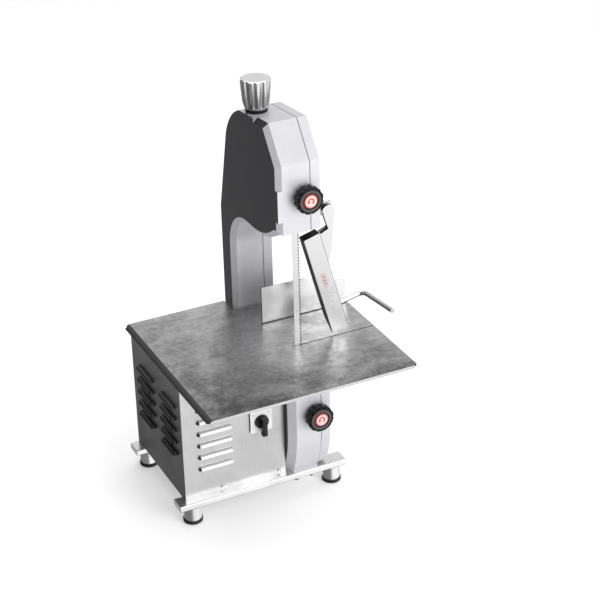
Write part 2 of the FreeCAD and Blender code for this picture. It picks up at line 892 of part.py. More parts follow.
def pulley(label, y, z, radius, bore):
    """A flanged, grooved belt pulley."""
    wide = d.pulley_w
    body = turned("x", d.pulley_x, y, z, [
        (0, bore),
        (0, radius + 3),
        (2, radius + 3),
        (2, radius),
        (wide - 2, radius),
        (wide - 2, radius + 3),
        (wide, radius + 3),
        (wide, bore),
    ])
    return node(body, label)


def belt_side(radius_a, radius_b):
    """The outline round two circles, one at the motor and one at the wheel shaft."""
    start = (d.motor_y.value, d.motor_z.value)
    end = (axle_y.value, d.lower_z.value)
    away = math.hypot(end[0] - start[0], end[1] - start[1])
    heading = math.atan2(end[1] - start[1], end[0] - start[0])
    lean = math.acos((radius_a - radius_b) / away)
    points = []
    for centre, radius, turn in ((start, radius_a, lean), (end, radius_b, lean),
                                 (end, radius_b, -lean), (start, radius_a, -lean)):
        angle = heading + turn
        points.append(V(0, centre[0] + radius * math.cos(angle), centre[1] + radius * math.sin(angle)))
    far = V(0, end[0] + radius_b * math.cos(heading), end[1] + radius_b * math.sin(heading))
    near = V(0, start[0] - radius_a * math.cos(heading), start[1] - radius_a * math.sin(heading))
    edges = [
        Part.LineSegment(points[0], points[1]).toShape(),
        Part.Arc(points[1], far, points[2]).toShape(),
        Part.LineSegment(points[2], points[3]).toShape(),
        Part.Arc(points[3], near, points[0]).toShape(),
    ]
    return Part.Face(Part.Wire(edges))


def drive_belt():
    """The flat belt, tangent to both pulleys, worked out from their centres."""
    slack = d.tracking.value
    gauge = d.belt_gauge.value
    radii = (d.drive_rad.value + slack, d.driven_rad.value + slack)
    outer = belt_side(radii[0] + gauge, radii[1] + gauge)
    wide = d.pulley_w.value - 5
    band = outer.cut(belt_side(*radii)).extrude(V(wide, 0, 0))
    item = doc.addObject("Part::Feature", "belt")
    item.Shape = band
    item.Placement = FreeCAD.Placement(V(), FreeCAD.Rotation())
    place(item, d.pulley_x + 2.5, size(0), size(0))
    return node(item, "drive_belt")


def motor():
    """Motor housing, end caps, rotor with its shaft, bracket and capacitor."""
    start = d.motor_x
    long = d.motor_long
    radius = d.motor_rad
    barrel = rod("x", start, d.motor_y, d.motor_z, radius, long)
    bore = rod("x", start - 1, d.motor_y, d.motor_z, radius - 5, long + 2)
    node(cut(barrel, bore), "motor_housing")
    left = ring("x", start - 10, d.motor_y, d.motor_z, 9, radius, 9.9)
    right = ring("x", start + long + 0.1, d.motor_y, d.motor_z, 9, radius, 9.9)
    node(group(left, right), "motor_end_caps")
    shaft = turned("x", start - 6, d.motor_y, d.motor_z, [
        (0, size(0)),
        (0, 8.9),
        (20, 8.9),
        (20, radius - 12),
        (long - 8, radius - 12),
        (long - 8, 8.9),
        (d.pulley_x - start + 6 + d.pulley_w, 8.9),
        (d.pulley_x - start + 6 + d.pulley_w, size(0)),
    ])
    node(shaft, "motor_shaft")
    base = box(start + 30, d.motor_y - 50, d.deck + 1.6, 90, 100, 4)
    cradle = cut(box(start + 35, d.motor_y - 40, d.deck + 5.6, 80, 80, 12),
                 rod("x", start, d.motor_y, d.motor_z, radius, 160))
    node(fuse(base, cradle), "motor_bracket")
    node(rod("x", start + 20, d.box_back - 45, d.deck + 40, 19, 90), "run_capacitor")


# ---------------------------------------------------------------- cabinet and base

def hood_on_front(x, z, long):
    """A louver hood on the front panel: a quarter capsule, open below."""
    outer, inner = [], []
    for parts, radius in ((outer, d.louver_rad), (inner, d.louver_rad - d.panel)):
        parts.append(rod("x", x + d.louver_rad, d.box_y, z, radius, long - d.louver_rad * 2))
        parts.append(ball(x + d.louver_rad, d.box_y, z, radius))
        parts.append(ball(x + long - d.louver_rad, d.box_y, z, radius))
    shell = cut(fuse(*outer), fuse(*inner))
    side = box(x, d.box_y - d.louver_rad, z, long, d.louver_rad + 0.4, d.louver_rad)
    slot = box(x + 5, d.box_y - 2, z, long - 10, 6, d.louver_rad - 2.4)
    return common(shell, side), slot


def hood_on_left(y, z, long):
    """A louver hood on the left panel."""
    outer, inner = [], []
    for parts, radius in ((outer, d.louver_rad), (inner, d.louver_rad - d.panel)):
        parts.append(rod("y", d.box_x, y + d.louver_rad, z, radius, long - d.louver_rad * 2))
        parts.append(ball(d.box_x, y + d.louver_rad, z, radius))
        parts.append(ball(d.box_x, y + long - d.louver_rad, z, radius))
    shell = cut(fuse(*outer), fuse(*inner))
    side = box(d.box_x - d.louver_rad, y, z, d.louver_rad + 0.4, long, d.louver_rad)
    slot = box(d.box_x - 2, y + 5, z, 6, long - 10, d.louver_rad - 2.4)
    return common(shell, side), slot


def cabinet():
    """The motor cabinet: four folded sheets."""
    tall = d.box_top - d.deck
    inside = d.box_x + d.panel
    wide = d.frame_x - 0.5 - inside
    sheet = box(inside, d.box_y, d.deck, wide, d.panel, tall)
    hoods = [hood_on_front(d.box_x + 32, d.louver_z - d.louver_pitch * row, 78) for row in range(6)]
    shaft_hole = rod("y", d.switch_x, d.box_y - 5, d.switch_z, 10, 20)
    cut_sheet = cut(sheet, shaft_hole, *[slot for _, slot in hoods])
    node(fuse(cut_sheet, *[hood for hood, _ in hoods]), "front_panel")
    side = box(d.box_x, d.box_y, d.deck, d.panel, d.box_back - d.box_y, tall)
    hoods = []
    for row in range(5):
        for y, long in ((184, 70), (297, 76)):
            hoods.append(hood_on_left(size(y), d.louver_z - d.louver_pitch * row, size(long)))
    cut_side = cut(side, *[slot for _, slot in hoods])
    node(fuse(cut_side, *[hood for hood, _ in hoods]), "left_panel")
    back = box(inside, d.box_back - d.panel, d.deck, wide, d.panel, tall)
    node(cut(back, rod("y", 60, d.box_back - 6, 90, 8, 12)), "back_panel")
    floor = box(inside, d.box_y + d.panel, d.deck, wide,
                d.box_back - d.box_y - d.panel * 2, 1.5)
    node(floor, "floor_panel")


def base():
    """Two cross bars, four tube legs and their rubber feet."""
    bars = ((d.front_bar_y, "front_base_bar"), (d.rear_bar_y, "rear_base_bar"))
    legs, feet = [], []
    for y, label in bars:
        block = box(d.bar_x, y, d.deck - d.bar_tall, d.bar_long, d.bar_w, d.bar_tall)
        edge = soften("Part::Fillet", block, lambda edge: edge.Length > 100, size(2))
        node(edge, label)
        for across in (d.leg_inset, d.leg_right):
            x = d.bar_x + across
            middle = y + d.bar_w / 2
            leg_tall = d.deck - d.bar_tall - d.foot_tall + 2
            legs.append(cut(rod("z", x, middle, d.foot_tall - 2, d.leg_rad, leg_tall),
                            rod("z", x, middle, d.foot_tall - 3, d.leg_rad - 2, leg_tall - 3)))
            feet.append(turned("z", x, middle, size(0), [
                (0, size(0)),
                (0, d.foot_rad - 1.5),
                (1.5, d.foot_rad),
                (d.foot_tall, d.foot_rad),
                (d.foot_tall, d.leg_rad + 0.1),
                (d.foot_tall - 2, d.leg_rad + 0.1),
                (d.foot_tall - 2, size(0)),
            ]))
    node(group(*legs), "leg_tubes")
    node(group(*feet), "rubber_feet")


def screw_head(x, y, z, radius, tall):
    """A screw head with a hexagonal socket, facing the front."""
    head = rod("-y", x, y, z, radius, tall)
    return cut(head, prism("y", x, y - tall - 1, z, 6, radius * 0.5, tall))


def screws():
    """Cabinet screws and the bolts that hold the frame to the bars."""
    heads = []
    for x, z in ((88, 57), (214, 57), (214, 299), (25, 299)):
        heads.append(screw_head(size(x), d.box_y, size(z), 4, 2.4))
    node(group(*heads), "cabinet_screws")
    bolts = []
    for y in (d.front_bar_y + 7, d.rear_bar_y + 30):
        for x in (248, 282):
            bolts.append(prism("z", size(x), y, d.deck - d.bar_tall - 5, 6, 6, 5))
    node(group(*bolts), "base_bolts")


def switch():
    """The square switch plate and its rotary handle."""
    half = 24
    plate_deep = 4
    back = d.box_y - plate_deep - 0.1
    plate = box(d.switch_x - half, back, d.switch_z - half, half * 2, plate_deep, half * 2)
    softened = soften("Part::Fillet", plate, lambda edge: edge.Length < plate_deep + 1, size(3))
    bore = rod("y", d.switch_x, back - 1, d.switch_z, 5 + d.running, plate_deep + 2)
    node(cut(softened, bore), "switch_plate")
    front = back - 0.4
    disc = turned("-y", d.switch_x, front, d.switch_z, [
        (-8, size(0)),
        (-8, 5),
        (0, 5),
        (0, 15),
        (6, 14),
        (7, 13),
        (7, size(0)),
    ])
    grip = box(d.switch_x - 5, front - 20, d.switch_z - 26, 10, 14, 39)
    rounded = soften("Part::Fillet", grip, lambda edge: edge.Length > 30 or edge.Length < 11, size(2))
    node(fuse(disc, rounded), "switch_knob")


def cable_gland():
    """The gland on the back panel, with no lead in it."""
    nut_bore = rod("y", 60, d.box_back - 5, 90, 4.25, 30)
    nut = cut(prism("y", 60, d.box_back + 0.05, 90, 6, 13, 7), nut_bore)
    barrel = ring("y", 60, d.box_back - 6, 90, 4.25, 8, 30)
    dome = turned("y", 60, d.box_back + 24, 90, [(0, 4.25), (0, 11), (5, 10), (8, 7), (8, 4.25)])
    return node(fuse(nut, barrel, dome), "cable_gland")


# ---------------------------------------------------------------- table, fence and pusher

def work_table():
    """The stainless table: a lipped sheet with a rolled left edge, notch and slit."""
    body = new_body()
    low = d.table_top - d.table_lip
    sketch = sketch_on(body, "XZ_Plane")
    rim_rad = (d.rim_w * d.rim_w + d.rim_drop * d.rim_drop) / (d.rim_drop * 2)
    draw(sketch, [
        (size(0), low),
        (d.table_w, low),
        (d.table_w, d.table_top),
        (d.rim_w, d.table_top),
        Arc(size(0), d.table_top - d.rim_drop, rim_rad, -1),
    ])
    pad(body, sketch, d.table_d, backwards=True)
    around = sketch_on(body, "XY_Plane", d.table_top + 1)
    past = size(5)
    draw(around, [
        (size(0) - past, size(0) - past),
        (d.table_w + past, size(0) - past),
        (d.table_w + past, d.table_d + past),
        (size(0) - past, d.table_d + past),
    ])
    draw(around, [
        Arc(d.corner, size(0), d.corner, 1),
        (d.table_w - d.corner, size(0)),
        Arc(d.table_w, d.corner, d.corner, 1),
        (d.table_w, d.table_d - d.corner),
        Arc(d.table_w - d.corner, d.table_d, d.corner, 1),
        (d.corner, d.table_d),
        Arc(size(0), d.table_d - d.corner, d.corner, 1),
        (size(0), d.corner),
    ])
    pocket(body, around, 20)
    under = sketch_on(body, "XY_Plane", low)
    draw(under, [
        (d.rim_w, d.sheet),
        (d.table_w - d.sheet, d.sheet),
        (d.table_w - d.sheet, d.table_d - d.sheet),
        (d.rim_w, d.table_d - d.sheet),
    ])
    pocket(body, under, d.table_lip - d.sheet, along_normal=True)
    top = sketch_on(body, "XY_Plane", d.table_top + 1)
    left, right, front = d.frame_x - 4, d.hinge_x + 8, d.column_y - 5
    draw(top, [(left, front), (right, front), (right, d.table_d + 1), (left, d.table_d + 1)])
    pocket(body, top, 20)
    slit = sketch_on(body, "XY_Plane", d.table_top + 1)
    half = d.slit_w / 2
    draw(slit, [
        (d.slit_x, d.blade_y - half),
        (d.table_w + 1, d.blade_y - half),
        (d.table_w + 1, d.blade_y + half),
        (d.slit_x, d.blade_y + half),
    ])
    pocket(body, slit, 20)
    hole = sketch_on(body, "XY_Plane", d.table_top + 1)
    circle(hole, d.fence_stud_x, d.fence_stud_y, 4)
    pocket(body, hole, 20)
    return node(body, "work_table")


def table_supports():
    """Rubber-topped pads on the housing and cabinet that carry the table."""
    under = d.table_top - d.sheet
    pads = []
    for x, y in ((60, 170), (200, 170), (60, 385), (200, 385)):
        pads.append(rod("z", size(x), size(y), d.box_top, 6, under - d.box_top))
    cross = [box(d.box_x + 8, y - 9, d.box_top - 3, 214, 18, 3) for y in (size(170), size(385))]
    return node(group(*[fuse(bar, *pads[i * 2:i * 2 + 2]) for i, bar in enumerate(cross)]),
                "table_supports")


def fence():
    """The portion fence, its slotted foot, and the stud and knob that lock it."""
    body = new_body()
    low = d.table_top + 0.4
    top = d.table_top + d.fence_tall
    sketch = sketch_on(body, "XZ_Plane", size(0) - d.fence_y)
    draw(sketch, [
        (d.fence_x, low),
        (d.fence_end, low),
        (d.fence_end, d.table_top + 49),
        Arc(d.fence_end - 6, d.table_top + 56, 8, -1),
        (d.fence_end - 100, top),
        (d.fence_x, top),
    ])
    pad(body, sketch, d.fence_gauge, backwards=True)
    node(body, "fence_plate")
    back = d.fence_y + d.fence_gauge
    tongue = box(d.fence_stud_x - 20, back, low, 40, d.table_d - back - 1, 3)
    upright = box(d.fence_stud_x - 20, back, low, 40, 3, 32)
    slot = fuse(box(d.fence_stud_x - 4.3, back + 18, low - 1, 8.6, 102, 6),
                rod("z", d.fence_stud_x, back + 18, low - 1, 4.3, 6),
                rod("z", d.fence_stud_x, back + 120, low - 1, 4.3, 6))
    node(cut(fuse(tongue, upright), slot), "fence_foot")
    under = d.table_top - d.sheet
    stud = fuse(rod("z", d.fence_stud_x, d.fence_stud_y, under - 5, 9, 5),
                rod("z", d.fence_stud_x, d.fence_stud_y, under - 1, 3.9, 30))
    node(stud, "fence_lock_stud")
    knob = turned("z", d.fence_stud_x, d.fence_stud_y, low + 3.3, [
        (0, 3.95),
        (0, 9),
        (4, 9),
        (6, 12),
        (16, 12),
        (19, 9.5),
        (19, 3.95),
    ])
    node(knob, "fence_lock_knob")


def pusher():
    """The swinging pusher: folded arm, ear, pivot bracket, pin and bent handle."""
    lean = FreeCAD.Rotation(V(0, 1, 0), -d.arm_lean.value)
    body = doc.addObject("PartDesign::Body", "body")
    body.Placement = FreeCAD.Placement(V(), lean)
    place(body, d.arm_x, d.arm_y, d.arm_z)
    sketch = sketch_on(body, "XY_Plane")
    gauge = d.arm_gauge
    draw(sketch, [
        (size(0), size(0)),
        (d.arm_w, size(0)),
        (d.arm_w, gauge),
        (gauge, gauge),
        (gauge, d.arm_deep),
        (size(0), d.arm_deep),
    ])
    pad(body, sketch, d.arm_long, backwards=True)
    cap = sketch_on(body, "XY_Plane")
    draw(cap, [
        (size(0), size(0)),
        (d.arm_w, size(0)),
        (d.arm_w, d.arm_deep),
        (size(0), d.arm_deep),
    ])
    pad(body, cap, gauge, backwards=True)
    toe = sketch_on(body, "YZ_Plane", gauge + 1)
    draw(toe, [
        (d.arm_deep + 1, size(0) - d.arm_long - 1),
        (d.arm_deep + 1, size(0) - d.arm_long + 30),
        (size(4), size(0) - d.arm_long - 1),
    ])
    pocket(body, toe, gauge + 2)
    node(body, "pusher_arm")
    ear = new_body()
    back = d.arm_y + d.arm_deep + 0.1
    sketch = sketch_on(ear, "XZ_Plane", size(0) - back)
    draw(sketch, [
        (d.pivot_x - 13.5, d.pivot_z + 2),
        Arc(d.pivot_x + 13.5, d.pivot_z + 2, 14.5, 1),
        (d.pivot_x + 2, d.pivot_z - 106),
        (d.pivot_x - 12, d.pivot_z - 117),
        (d.pivot_x - 34, d.pivot_z - 44),
        (d.pivot_x - 20, d.pivot_z - 38),
        (d.pivot_x - 4, d.pivot_z - 31),
    ])
    pad(ear, sketch, d.ear_gauge, backwards=True)
    hub = sketch_on(ear, "XZ_Plane", size(0) - back - d.ear_gauge)
    circle(hub, d.pivot_x, d.pivot_z, d.pivot_rad + 5)
    pad(ear, hub, d.hub_long, backwards=True)
    hole = sketch_on(ear, "XZ_Plane", size(0) - back - d.ear_gauge)
    circle(hole, d.pivot_x, d.pivot_z, d.pivot_rad + d.running)
    pocket(ear, hole, d.hub_long + 1)
    node(ear, "pusher_ear")
    behind = back + d.ear_gauge + d.hub_long + 0.5
    plate = box(d.door_x, behind, d.pivot_z - 13, 55, 6, 26)
    flange = box(d.door_x, behind, d.pivot_z - 20, 4, 30, 40)
    bore = rod("y", d.pivot_x, behind - 1, d.pivot_z, d.pivot_rad, 8)
    node(cut(fuse(plate, flange), bore), "pusher_bracket")
    pin_part = turned("y", d.pivot_x, back + d.ear_gauge + 0.3, d.pivot_z, [
        (0, size(0)),
        (0, d.pivot_rad),
        (d.hub_long + 6.3, d.pivot_rad),
        (d.hub_long + 6.3, d.pivot_rad + 3),
        (d.hub_long + 10, d.pivot_rad + 3),
        (d.hub_long + 10, size(0)),
    ])
    node(pin_part, "pusher_pin")


def handle():
    """The bent round bar that the hand holds."""
    body = doc.addObject("PartDesign::Body", "body")
    body.Placement = FreeCAD.Placement(V(), FreeCAD.Rotation(V(0, 1, 0), -d.rod_rise.value))
    place(body, 352, d.rod_y, 376)
    path = sketch_on(body, "XY_Plane")
    bend = 15
    reach = 86
    splay = 9
    grip = 104
    half_way = bend * math.sqrt(0.5)
    points = [V(0, 0, 0), V(reach - bend, 0, 0), V(reach, -bend, 0), V(reach + splay, -grip, 0)]
    middle = V(reach - bend + half_way, half_way - bend, 0)
    path.addGeometry(Part.LineSegment(points[0], points[1]), False)
    path.addGeometry(Part.Arc(points[1], middle, points[2]), False)
    path.addGeometry(Part.LineSegment(points[2], points[3]), False)
    section = sketch_on(body, "YZ_Plane")
    circle(section, 0, 0, d.rod_rad)
    pipe = body.newObject("PartDesign::AdditivePipe", "pipe")
    pipe.Profile = section
    pipe.Spine = path
    node(body, "pusher_handle")


# ---------------------------------------------------------------- build and write

def check():
    """Stop if any object failed or any sub-part has no valid solid."""
    doc.recompute()
    for item in doc.Objects:
        if "Invalid" in item.State or "Error" in item.State:
            raise RuntimeError("{} ({}) is {}".format(item.Name, item.Label, item.State))
    for item in nodes:
        if item.Shape.isNull() or not item.Shape.isValid() or not item.Shape.Solids:
            raise RuntimeError("{} has no valid solid".format(item.Label))


def main():
    """Build every sub-part, check them all, and write each to its own file."""
    c_frame()
    upper_door()
    lower_door()
    hinges()
    latch("upper", d.upper_latch_z, d.head_front)
    latch("lower", d.lower_latch_z, d.house_y)
    latch_studs()
    tension_knob()
    tension_train()
    wheel("upper_wheel", d.upper_z, d.bearing_rad)
    wheel("lower_wheel", d.lower_z, d.axle_rad)
    node(group(bearing(d.wheel_x - 2.5, d.upper_z), bearing(d.wheel_x + 9.8, d.upper_z)),
         "upper_bearings")
    saw_blade()
    guide("upper_blade_guide", d.belly_z + 50, size(13))
    guide("lower_blade_guide", d.house_top - 30, size(14))
    scrapers()
    lower_drive()
    pulley("driven_pulley", axle_y, d.lower_z, d.driven_rad, d.axle_rad)
    pulley("motor_pulley", d.motor_y, d.motor_z, d.drive_rad, size(8.9))
    drive_belt()
    motor()
    cabinet()
    base()
    screws()
    switch()
    cable_gland()
    work_table()
    table_supports()
    fence()
    pusher()
    handle()
    check()
    os.makedirs("parts", exist_ok=True)
    for item in nodes:
        item.Shape.exportStep("parts/{}.step".format(item.Label))


main()
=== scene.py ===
import json
import math

import bmesh
import bpy
from mathutils import Matrix, Vector


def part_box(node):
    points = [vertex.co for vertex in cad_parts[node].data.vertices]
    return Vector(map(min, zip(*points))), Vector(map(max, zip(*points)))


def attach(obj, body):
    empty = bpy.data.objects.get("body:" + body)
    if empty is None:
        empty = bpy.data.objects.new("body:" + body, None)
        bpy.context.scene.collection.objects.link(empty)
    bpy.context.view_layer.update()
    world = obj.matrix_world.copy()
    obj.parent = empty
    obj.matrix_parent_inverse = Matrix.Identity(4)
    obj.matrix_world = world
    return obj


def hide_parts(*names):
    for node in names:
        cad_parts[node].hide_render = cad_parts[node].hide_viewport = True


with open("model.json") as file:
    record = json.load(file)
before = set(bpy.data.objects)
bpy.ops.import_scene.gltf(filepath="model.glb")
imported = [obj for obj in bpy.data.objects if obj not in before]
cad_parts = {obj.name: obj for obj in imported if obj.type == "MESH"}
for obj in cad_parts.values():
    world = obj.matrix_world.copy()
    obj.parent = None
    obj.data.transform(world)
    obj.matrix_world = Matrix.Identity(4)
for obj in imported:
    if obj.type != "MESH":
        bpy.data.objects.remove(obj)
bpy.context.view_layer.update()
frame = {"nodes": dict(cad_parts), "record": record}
MM = 0.001

# The pusher arm's front face: the corner that its sketch starts from, in mm, and its lean.
ARM_X, ARM_Y, ARM_Z = 78.95, -34.75, 544.5
ARM_LEAN = math.radians(15.3)
ARM_RIGHT_SHADE_LINE = 35.1  # from that corner across to the painted shade line down the right edge, mm
LABEL_ACROSS, LABEL_UP = 16.7, -104.5  # from that corner to the label's middle, mm

LATCH_RING = (16.3, 22.4)  # inner and outer radius of the grey ring, mm
HOOD_REACH = 6.8  # the front panel's hoods lie within this depth of its front, mm

# ---------------------------------------------------------------- materials


class Look:
    """One procedural material.

    Places are object coordinates, in metres, so the texture moves with its piece.
    """

    def __init__(self, name, metallic=0.0, roughness=0.5, **constants):
        self.material = bpy.data.materials.new(name)
        self.material.use_nodes = True
        self.tree = self.material.node_tree
        self.shader = self.tree.nodes["Principled BSDF"]
        self.shader.inputs["Metallic"].default_value = metallic
        self.shader.inputs["Roughness"].default_value = roughness
        for socket, value in constants.items():
            self.shader.inputs[socket.replace("_", " ")].default_value = value
        coordinates = self.node("TexCoord")
        self.place = coordinates.outputs["Object"]
        self.facing = coordinates.outputs["Normal"]
        edge = self.node("Bevel", samples=4)
        edge.inputs["Radius"].default_value = 0.7 * MM
        self.rounded = edge.outputs["Normal"]

    def node(self, kind, **settings):
        """A new shader node of a kind, with its settings."""
        made = self.tree.nodes.new("ShaderNode" + kind)
        for key, value in settings.items():
            setattr(made, key, value)
        return made

    def link(self, source, target):
        """Feed a socket from another socket, or set it to a value."""
        if hasattr(source, "links"):
            self.tree.links.new(source, target)
        else:
            target.default_value = source

    def noise(self, scale, detail=3.0, stretch=(1, 1, 1), rough=0.55, distortion=0.0):
        """Noise with scale features a metre, made finer along each axis by stretch."""
        mapping = self.node("Mapping")
        mapping.inputs["Scale"].default_value = stretch
        self.link(self.place, mapping.inputs["Vector"])
        made = self.node("TexNoise")
        self.link(mapping.outputs["Vector"], made.inputs["Vector"])
        made.inputs["Scale"].default_value = scale
        made.inputs["Detail"].default_value = detail
        made.inputs["Roughness"].default_value = rough
        made.inputs["Distortion"].default_value = distortion
        return made.outputs["Fac"]

    def maths(self, operation, *values):
        """The result of a math operation on sockets and numbers."""
        made = self.node("Math", operation=operation)
        for value, socket in zip(values, made.inputs):
            self.link(value, socket)
        return made.outputs["Value"]

    def spread(self, value, low, high, to_low=0.0, to_high=1.0):
        """value's range low to high, as to_low to to_high."""
        made = self.node("MapRange")
        for given, socket in zip((value, low, high, to_low, to_high), made.inputs):
            self.link(given, socket)
        return made.outputs["Result"]

    def blend(self, share, first, second):
        """The colour first at share 0, and second at share 1."""
        made = self.node("Mix", data_type="RGBA")
        self.link(share, made.inputs["Factor"])
        for given, socket in ((first, made.inputs[6]), (second, made.inputs[7])):
            self.link(rgb(given) if isinstance(given, tuple) else given, socket)
        return made.outputs[2]

    def axis(self, vector, name):
        """One component of a vector: X, Y or Z."""
        made = self.node("SeparateXYZ")
        self.link(vector, made.inputs[0])
        return made.outputs[name]

    def above(self, value, limit):
        """1 where value is more than limit, and 0 elsewhere."""
        return self.maths("GREATER_THAN", value, limit)

    def below(self, value, limit):
        """1 where value is less than limit, and 0 elsewhere."""
        return self.maths("LESS_THAN", value, limit)

    def both(self, first, second):
        """Where two masks are both 1."""
        return self.maths("MULTIPLY", first, second)

    def either(self, first, second):
        """Where one of two masks or both are 1."""
        return self.maths("MAXIMUM", first, second)

    def radius(self, centre, across):
        """Distance in metres from a line through centre, in the plane of the two axes in across."""
        parts = []
        for name in across:
            offset = self.maths("SUBTRACT", self.axis(self.place, name), centre["XYZ".index(name)])
            parts.append(self.maths("POWER", offset, 2.0))
        return self.maths("SQRT", self.maths("ADD", *parts))

    def colour(self, value):
        self.link(value, self.shader.inputs["Base Color"])

    def gloss(self, value):
        self.link(value, self.shader.inputs["Roughness"])

    def bump(self, height, depth):
        """Relief of depth metres from a height between 0 and 1."""
        made = self.node("Bump")
        made.inputs["Distance"].default_value = depth
        self.link(height, made.inputs["Height"])
        self.link(self.rounded, made.inputs["Normal"])
        self.link(made.outputs["Normal"], self.shader.inputs["Normal"])


def rgb(colour):
    """A colour with full alpha, as sockets take it."""
    return (*colour, 1.0)


def grey(level):
    """A linear grey of this level."""
    return (level, level, level)


def clouds_and_lines(look, clouds, grain, share=0.35):
    """Clouds of wear mixed with a fine grain, and the grain alone."""
    cloud = look.noise(clouds, detail=6.0, rough=0.6, distortion=0.4)
    lines = look.noise(18.0, detail=4.0, stretch=grain, rough=0.7)
    cloud_part = look.maths("MULTIPLY", cloud, 1 - share)
    line_part = look.maths("MULTIPLY", lines, share)
    return look.maths("ADD", cloud_part, line_part), lines


def metal(name, light, dark, rough, grain, clouds=12.0, depth=0.02, **constants):
    """Bare metal with clouds of wear and a fine grain, along the axis where grain is least."""
    look = Look(name, metallic=1.0, **constants)
    mixed, lines = clouds_and_lines(look, clouds, grain)
    look.colour(look.blend(look.spread(mixed, 0.36, 0.64), dark, light))
    look.gloss(look.spread(mixed, 0.35, 0.65, rough[1], rough[0]))
    look.bump(lines, depth * MM)
    return look


def plastic(name, base, worn, rough, grain=900.0, depth=0.03, **constants):
    """Moulded plastic or rubber with a fine leathery grain and slightly greyed patches."""
    look = Look(name, **constants)
    patches = look.noise(30.0, detail=5.0)
    look.colour(look.blend(look.spread(patches, 0.35, 0.75), base, worn))
    look.gloss(look.spread(patches, 0.3, 0.7, *rough))
    look.bump(look.noise(grain, detail=2.0), depth * MM)
    return look


def cast_silver():
    """Satin silver paint on a casting, with painted shade in charcoal on its outer left face and
    its crown's bevel.
    """
    look = Look(
        "cast_silver",
        metallic=0.25,
        Coat_Weight=0.10,
        Coat_Roughness=0.25,
        Specular_IOR_Level=0.35,
    )
    lo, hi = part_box("c_frame")
    place_x = look.axis(look.place, "X")
    outer = look.below(place_x, lo.x + 2 * MM)
    flat = look.both(look.below(look.axis(look.facing, "X"), -0.97), outer)
    sloping = look.below(look.axis(look.facing, "X"), -0.5)
    crown = look.both(sloping, look.above(look.axis(look.facing, "Z"), 0.62))
    # Painted shade: the outer left face and the crown's left-facing bevel are coloured charcoal for
    # the shade they stand in.
    left_shade = look.either(flat, crown)
    seam = look.maths("ABSOLUTE", look.maths("SUBTRACT", place_x, hi.x + 0.25 * MM))
    mixed, _ = clouds_and_lines(look, 14.0, (60, 60, 60))
    share = look.spread(mixed, 0.35, 0.65)
    silver = look.blend(share, (0.58, 0.58, 0.605), (0.66, 0.66, 0.685))
    # The charcoal of the painted shade.
    dark = look.blend(share, (0.012, 0.012, 0.018), (0.021, 0.021, 0.029))
    painted = look.blend(left_shade, silver, dark)
    seam_share = look.spread(seam, 0.5 * MM, 1.0 * MM, 0.92, 0.0)
    look.colour(look.blend(seam_share, painted, grey(0.02)))
    look.gloss(look.spread(mixed, 0.3, 0.7, 0.30, 0.42))
    look.bump(look.noise(900.0, detail=3.0), 0.02 * MM)
    return look


def steel_table():
    """Brushed stainless worktop, clouded by use and darkest towards its front left.

    Its rolled left rim and the slit's edges are darkened with painted shade, and its front edge is
    brightened with a painted highlight.
    """
    look = Look("stainless_table", metallic=1.0)
    lo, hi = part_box("work_table")
    cloud = look.noise(7.0, detail=8.0, rough=0.62, distortion=0.9)
    smear = look.noise(9.0, detail=5.0, stretch=(1, 4, 1), rough=0.6, distortion=0.5)
    speckle = look.noise(90.0, detail=7.0, rough=0.75)
    lines = look.noise(16.0, detail=4.0, stretch=(1, 70, 70), rough=0.7)
    shares = ((cloud, 0.40), (smear, 0.14), (speckle, 0.30), (lines, 0.16))
    parts = [look.maths("MULTIPLY", texture, share) for texture, share in shares]
    wide = look.maths("ADD", parts[0], parts[1])
    fine = look.maths("ADD", parts[2], parts[3])
    mixed = look.maths("ADD", wide, fine)
    skew = 0.45
    sideways = look.maths("MULTIPLY", look.axis(look.place, "X"), skew)
    along = look.maths("ADD", sideways, look.axis(look.place, "Y"))
    across = look.spread(along, lo.x * skew + lo.y, hi.x * skew + hi.y * 0.4, -0.10, 0.09)
    share = look.spread(look.maths("ADD", mixed, across), 0.38, 0.62)
    worn = look.blend(share, grey(0.12), grey(0.56))
    # Painted shade: the rolled left rim and the slit's walls are coloured dark. Painted highlight:
    # the front edge is coloured bright.
    rim = look.below(look.axis(look.facing, "X"), -0.15)
    cut_edge = look.above(look.maths("ABSOLUTE", look.axis(look.facing, "Y")), 0.6)
    front = look.both(look.below(look.axis(look.place, "Y"), lo.y + 1 * MM), cut_edge)
    edge_shade = look.blend(cut_edge, look.blend(rim, worn, grey(0.07)), grey(0.010))
    look.colour(look.blend(front, edge_shade, grey(0.62)))
    look.gloss(look.spread(mixed, 0.35, 0.65, 0.46, 0.28))
    look.bump(lines, 0.03 * MM)
    return look


def shaded_side_sheet():
    """Brushed stainless, dull, with painted shade: dark all over and darkest low down."""
    look = Look("shaded_side_sheet", metallic=1.0)
    mixed, lines = clouds_and_lines(look, 8.0, (50, 50, 1))
    # Painted shade: the sheet darkens towards the bottom.
    low = look.spread(look.axis(look.place, "Z"), 0.05, 0.30, 0.85, 0.0)
    look.colour(look.blend(low, look.blend(mixed, grey(0.10), grey(0.18)), grey(0.024)))
    look.gloss(look.spread(mixed, 0.35, 0.65, 0.40, 0.28))
    look.bump(lines, 0.015 * MM)
    return look


